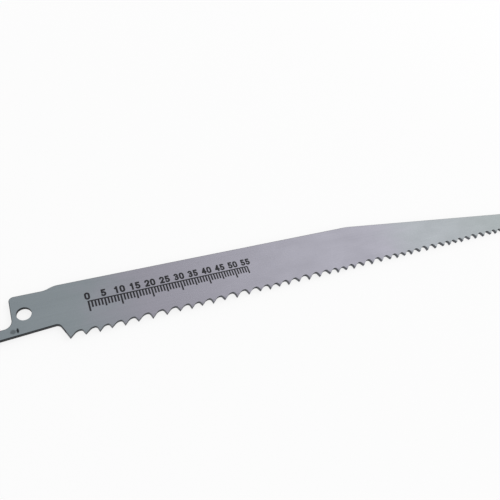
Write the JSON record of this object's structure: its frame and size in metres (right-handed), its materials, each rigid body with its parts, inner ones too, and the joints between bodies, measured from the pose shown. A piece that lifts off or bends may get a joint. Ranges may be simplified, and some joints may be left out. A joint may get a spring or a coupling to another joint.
{
  "type": "reciprocating saw blade",
  "caption": "Flat steel reciprocating saw blade: toothed edge, back that slopes down to a slanted nose, shank with a pin hole and a narrow tang.",
  "frame": {"origin": "centre of the pin hole, half way through the blade's thickness", "axes": "+X along the blade from the shank to the nose, +Y from the teeth to the spine, +Z through the thickness"},
  "size_m": [0.2285, 0.0184, 0.0018],
  "materials": {
    "blade_steel": "satin grey steel, fine grain along the blade, darker cut edges",
    "print_ink": "thin black print on the side of the blade"
  },
  "bodies": {
    "root": {"saw_blade": "blade_steel"}
  },
  "joints": []
}
